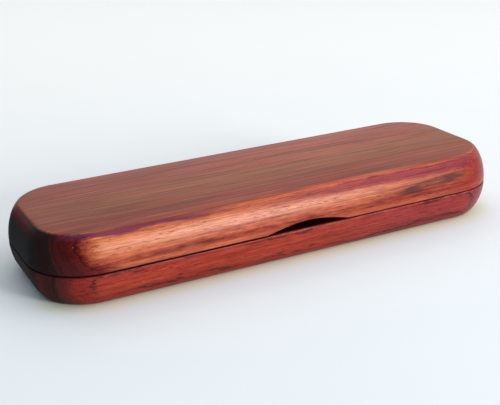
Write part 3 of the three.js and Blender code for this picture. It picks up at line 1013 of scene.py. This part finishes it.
def lid_tone(board, point, depth, inset):
    """Flame-coloured front with a purple streak and an eye, deep red corners, and a brown top with a painted
    sheen.
    Painted shade darkens the left end, the seam and the rim, and a pale top edge is partly wear and partly
    painted highlight.
    """
    x, y, z = point
    front = y.between(*FRONT_WALL)
    curve = y.between(*FRONT_CURVE)
    rings = board.noise(depth * 1.1 + 7).between(0.5, 0.62) * depth.between(2.2, 3.5)
    low = z.between(15.5, 12.8) * front * x.between(*PAST_LEFT_CORNER)
    upper = z.between(21.3, 23.4) * front * x.between(*PAST_LEFT_CORNER)
    ends = abs(x).between(80, 87) * z.between(*UNDER_TOP)
    first_line = depth.near(1.7, 0.22) * x.between(-62, -72)
    second_line = (depth.near(7.5, 1.1) + depth.near(9.3, 0.5) * 0.7).between(0, 0.8) * x.between(-76, -80)
    ragged = z + (board.noise((x / 9, y / 2, z / 2)) - 0.5) * 2.2
    left_streak = ragged.between(22.7, 23.4) * inset.between(4.7, 4.2) * x.between(-15, -45)
    right_streak = ragged.between(20.4, 21.4) * ragged.between(24.3, 23.6)
    right_streak = right_streak * x.between(-32, 32) * x.between(82, 74)
    # painted shade: the left end, which faces away from the light, painted near black, partly as darker end
    # grain
    end_grain_and_shade = x.between(*LEFT_END) * z.between(24.4, 19.5) * depth.between(10, 15)
    flat_top = z.between(*FLAT_TOP)
    rubbed = board.noise((x / 9, y / 9, z), 3.0, 0.6).between(0.4, 0.6)
    # pale line along the top edge: partly rubbed wear, partly a painted highlight of the lit edge
    worn_and_lit_edge = inset.near(4.6, 0.4) * z.between(24.0, 24.4) * (rubbed * 0.3 + 0.05)
    # painted shade in the parting seam and on the rim land round the notch
    painted_rim_shade = rim_painted_shade(point, inset, 11.95, (25, -5), (15, 14.4), 0.9)

    tone = board.ramp(depth / SKIN_DEPTH, LID_SKIN)
    tone = board.paint(tone, (x.between(15, 55) * curve * 0.55, RED), (depth.between(13, 24), HEART))
    tone = board.stain(tone, (rings, (0.62, 0.5, 0.6)))
    tone = board.paint(
        tone,
        (low * (x.between(-5, -35) * 0.4 + 0.6), colour(183, 93, 63)),
        (upper * 0.6, FLAME),
        (x.between(56, 74) * curve * 0.6, RED),
    )
    # painted shade: the lid darker towards its left end, which faces away from the light
    tone = board.stain(tone, (ends, (1.0, 0.6, 0.52)), (x.between(-70, -78), (0.68, 0.6, 0.6)))
    tone = board.paint(
        tone,
        (first_line * 0.95, INK),
        (second_line * 0.97, INK),
        (left_streak * front * 0.85, PURPLE),
        (right_streak * front * 0.8, MAGENTA),
        (eye(board, x, y, z), colour(74, 32, 24)),
        (end_grain_and_shade * 0.97, colour(9, 8, 10)),
        (flat_top * 0.85, board.ramp((y + TOP_HALF_WIDTH) / (2 * TOP_HALF_WIDTH), TOP_WITH_PAINTED_SHEEN)),
    )
    # painted sheen: the top darker and redder towards the left, where less sheen shows
    tone = board.stain(tone, (flat_top * x.between(0, -80), (0.8, 0.68, 0.66)))
    return board.paint(tone, (worn_and_lit_edge, colour(216, 118, 72)), (painted_rim_shade, PAINTED_SHADE))


def base_tone(board, point, depth, inset):
    """Redder than the lid, with one dark layer that runs along it and a thin pale rim line, partly wear and
    partly painted highlight. Painted shade darkens the left end, the seam and the rim.
    """
    x, y, z = point
    comes_and_goes = board.noise((x / 22, y / 9, z / 9), 1.0).between(0.36, 0.5)
    first_line = depth.near(0.66, 0.2) * comes_and_goes
    second_line = depth.near(7.2, 0.8) * x.between(-76, -80)
    # painted shade: the left end, which faces away from the light, painted near black, partly as darker end
    # grain
    end_grain_and_shade = x.between(*LEFT_END) * depth.between(10, 15)
    chipped = board.noise((x / 2.5, y, z), 3.0, 0.7).between(0.46, 0.66)
    # pale line along the rim's outer edge: partly wear, partly a painted highlight of the eased edge
    worn_and_lit_edge = z.between(11.1, 11.4) * inset.between(0.7, 0.2) * x.between(-40, 0)
    # painted shade in the parting seam and on the rim land round the notch
    painted_rim_shade = rim_painted_shade(point, inset, 11.85, (5, -20), (10.8, 11.4), 0.8)
    return board.paint(
        board.ramp(depth / SKIN_DEPTH, BASE_SKIN),
        (depth.between(9, 15), HEART),
        (x.between(0, 45) * y.between(*FRONT_WALL) * 0.3, PURPLE),
        (first_line * 0.85, colour(44, 14, 24)),
        (second_line * 0.95, INK),
        (end_grain_and_shade * 0.9, colour(14, 12, 14)),
        (worn_and_lit_edge * chipped * 0.3, colour(204, 124, 96)),
        (painted_rim_shade, PAINTED_SHADE),
    )


# %% The finished wood
WOOD_IOR = 1.26
POLISH = 0.26


def rosewood(name, tone_of, lean, outermost, seed):
    """Rosewood with its own tone: layers, then grain, then gloss that pores break and fibres vary."""
    board = Board(bpy.data.materials.new(name), {"IOR": WOOD_IOR})
    point = board.place()
    x, y, z = point
    depth = layer_depth(board, point, lean, outermost, seed)
    tone = tone_of(board, point, depth, plan_inset(x, y))
    soaked = abs(x).between(81, 87) * z.between(24.4, 22)
    tone, fibres, pores = grain(board, point, tone, 1 - soaked * 0.85, seed)
    scratches = board.noise((x / 4 + z, y * 3, z * 2 - x * 0.6 + seed), 0.0).between(0.84, 0.88)
    outside = y.between(-22, -25) * (1 - z.near(11.9, 1.4))
    tone = board.mix(scratches * outside * 0.3, tone, BARE)
    gloss = POLISH + fibres * 0.12 + pores * 0.25 + soaked * x.between(0, -50) * 0.5
    gloss = gloss + z.between(*FLAT_TOP) * 0.16
    normal = board.bump(fibres * 0.6 - pores, 0.025, 0.5)
    return board.output({"Base Color": tone, "Roughness": gloss, "Normal": normal})


lid_rosewood = rosewood("rosewood_lid", lid_tone, lean=25, outermost=34.0, seed=1.0)
base_rosewood = rosewood("rosewood_base", base_tone, lean=-14, outermost=26.35, seed=5.0)
print("rosewood:", len(lid_rosewood.node_tree.nodes), "and", len(base_rosewood.node_tree.nodes), "nodes")

# %% [markdown]
# ## Cloth and metal
#
# Flock and velvet are deep, dark and nearly matt, with a pale sheen where fibres are seen side-on, and their
# nap is brushed in patches. Brass is a yellow metal with fine scratches along its length, the pins are drawn
# steel wire, and the magnets are plated with bright nickel that is faintly orange-peeled.


# %% Cloth and metal materials
def napped(name, shade, sheen, nap):
    """Dark pile: fine speckle, brushed patches, and a sheen."""
    constants = {"Roughness": 0.95, "Sheen Weight": sheen, "Sheen Roughness": 0.4, "IOR": 1.3}
    board = Board(bpy.data.materials.new(name), constants)
    x, y, z = board.place()
    speckle = board.noise((x * nap, y * nap, z * nap), 2.0, 0.7)
    brushed = board.noise((x / 14, y / 9, z / 9))
    tip, brushed_tip = (colour(*[c * lighter for c in shade]) for lighter in (1.9, 2.2))
    tone = board.mix(speckle.between(0.3, 0.75), colour(*shade), tip)
    tone = board.mix(brushed.between(0.4, 0.7) * 0.4, tone, brushed_tip)
    return board.output({"Base Color": tone, "Normal": board.bump(speckle, 0.12, 0.8)})


def metal(name, bright, dull, gloss, stretch):
    """Metal with scratches drawn out along X by stretch, and a patchy bloom."""
    board = Board(bpy.data.materials.new(name), {"Metallic": 1.0})
    x, y, z = board.place()
    scratches = board.noise((x / stretch, y * 9, z * 9), 3.0, 0.6)
    bloom = board.noise((x / 3, y / 3, z / 3))
    tone = board.mix(bloom.between(0.3, 0.8), colour(*bright), colour(*dull))
    roughness = gloss + scratches * 0.14 + bloom * 0.08
    normal = board.bump(scratches, 0.012, 0.6)
    return board.output({"Base Color": tone, "Roughness": roughness, "Normal": normal})


flock = napped("flock", (26, 23, 28), 0.35, 7)
velvet = napped("velvet", (30, 22, 30), 0.6, 5)
brass = metal("brass", (208, 174, 106), (192, 154, 88), 0.2, 4)
steel = metal("drawn_steel", (176, 176, 178), (140, 140, 143), 0.24, 8)
nickel = metal("nickel", (206, 207, 210), (184, 185, 188), 0.12, 1)
print("cloth and metal:", [m.name for m in (flock, velvet, brass, steel, nickel)])

# %% [markdown]
# ## Putting the pieces on their bodies
#
# The lid's wood, lining, magnets, upper leaves and their screws turn with the lid. The pins stay with the
# base, as they do on a hinge whose outer knuckles are pinched on the wire.

# %% Assembly
in_frame(lid_wood, lid_rosewood, "lid", "lid")
in_frame(base_wood, base_rosewood, "base", "base")
in_frame(tray, flock, "base", "pen_tray")
in_frame(lining, velvet, "lid", "lid_pad")
for (side, half), leaf in leaves.items():
    in_frame(leaf, brass, half, f"hinge_{side}_{half}_leaf")
for (side, half, number), piece in screws.items():
    in_frame(piece, brass, half, f"hinge_{side}_{half}_screw_{number}")
for side, pin in pins.items():
    in_frame(pin, steel, "base", f"hinge_{side}_pin")
for (half, side), piece in magnets.items():
    in_frame(piece, nickel, half, f"{half}_magnet_{side}")

# %% [markdown]
# ## Floor and light
#
# The case lies on a pale sheet, painted darker and bluer near the case and paler further back, a painted fall
# of light, with a painted warm glow along the case's front where light bounces off the wood. A broad soft
# window high on the front right lights the form, and a small strong lamp low at the front makes the long
# highlight on the bulging wall. A third lamp hangs over the far sheet and keeps it white. The room is pale
# overhead and on the right, and dark low down and on the left, where the shadow falls.

# %% Floor and light
FLOOR_SIZE = 4000
FLOOR_GAP = 0.02


# painted fall of light on the floor: darker and bluer near the case, paler further back
SHEET_NEAR_SHADED = (0.65, 0.695, 0.745)
SHEET_FAR_LIT = (0.88, 0.88, 0.88)
# painted warm glow of light bounced off the wood onto the floor along the front of the case
SHEET_BOUNCE_GLOW = (1.02, 0.95, 0.74)
ROOM_DARK = (0.125, 0.22, 0.255)
ROOM_PALE = (0.98, 0.98, 0.97)
ROOM_STRENGTH = 1.1
LAMP_DISTANCE = 900
CASE_MIDDLE = (0, 0, 12)
WARM = (1.0, 0.98, 0.96)


def soft_light(name, target, azimuth, elevation, distance, width, height, radiance, tint):
    """A rectangular area lamp that faces target. radiance is how bright its face looks."""
    lamp = bpy.data.lights.new(name, "AREA")
    lamp.shape = "RECTANGLE"
    lamp.size = width * MM
    lamp.size_y = height * MM
    lamp.energy = radiance * np.pi * lamp.size * lamp.size_y
    lamp.color = tint
    add_object(name, lamp).matrix_world = aim(target, azimuth, elevation, distance)


def pale_sheet():
    """A matt floor painted darker and bluer near the case and paler further back, a painted fall of light
    with a faint mottle in it, and a painted warm glow along the front of the case, where light bounces off
    the wood.
    """
    board = Board(bpy.data.materials.new("pale_sheet"), {"Roughness": 0.9, "Specular IOR Level": 0.2})
    x, y, _ = board.place()
    mottle = board.noise((x / 60, y / 60, 0)) - 0.5
    # painted fall of light: the floor paler further back
    far = (y * 0.9 + x * 0.3 + mottle * 60).between(-260, 420)
    # painted warm glow along the front of the case
    bounce_glow = plan_inset(x, y).between(-5, 3) * y.between(-5, -25)
    tone = board.stain(board.mix(far, SHEET_NEAR_SHADED, SHEET_FAR_LIT), (bounce_glow, SHEET_BOUNCE_GLOW))
    return board.output({"Base Color": tone})


def room_light():
    """A room that is pale overhead and to the right, and dark low down and on the left."""
    board = Board(bpy.data.worlds.new("room"), {"Strength": ROOM_STRENGTH})
    across, back, upward = board.axes(board.node("TexCoord", output="Generated"))
    pale = (across * 0.5 + back * 0.2 + upward).between(0.1, 1.0)
    return board.output({"Color": board.mix(pale, ROOM_DARK, ROOM_PALE)})


corner = FLOOR_SIZE / 2
plane = [[x * corner, y * corner, -FLOOR_GAP] for x, y in ((-1, -1), (1, -1), (1, 1), (-1, 1))]
floor = make_mesh("floor", plane, [[0, 1, 2, 3]])
floor.data.materials.append(pale_sheet())
soft_light("front_window", CASE_MIDDLE, 55, 42, LAMP_DISTANCE, 700, 480, 1.7, WARM)
soft_light("front_lamp", CASE_MIDDLE, 22, 15, LAMP_DISTANCE, 210, 200, 54, WARM)
soft_light("far_window", (60, 520, 0), 180, 80, 700, 800, 500, 0.75, (1.0, 0.98, 0.95))
bpy.context.scene.world = room_light()
print("floor", FLOOR_SIZE, "mm square, 3 lamps and a room")
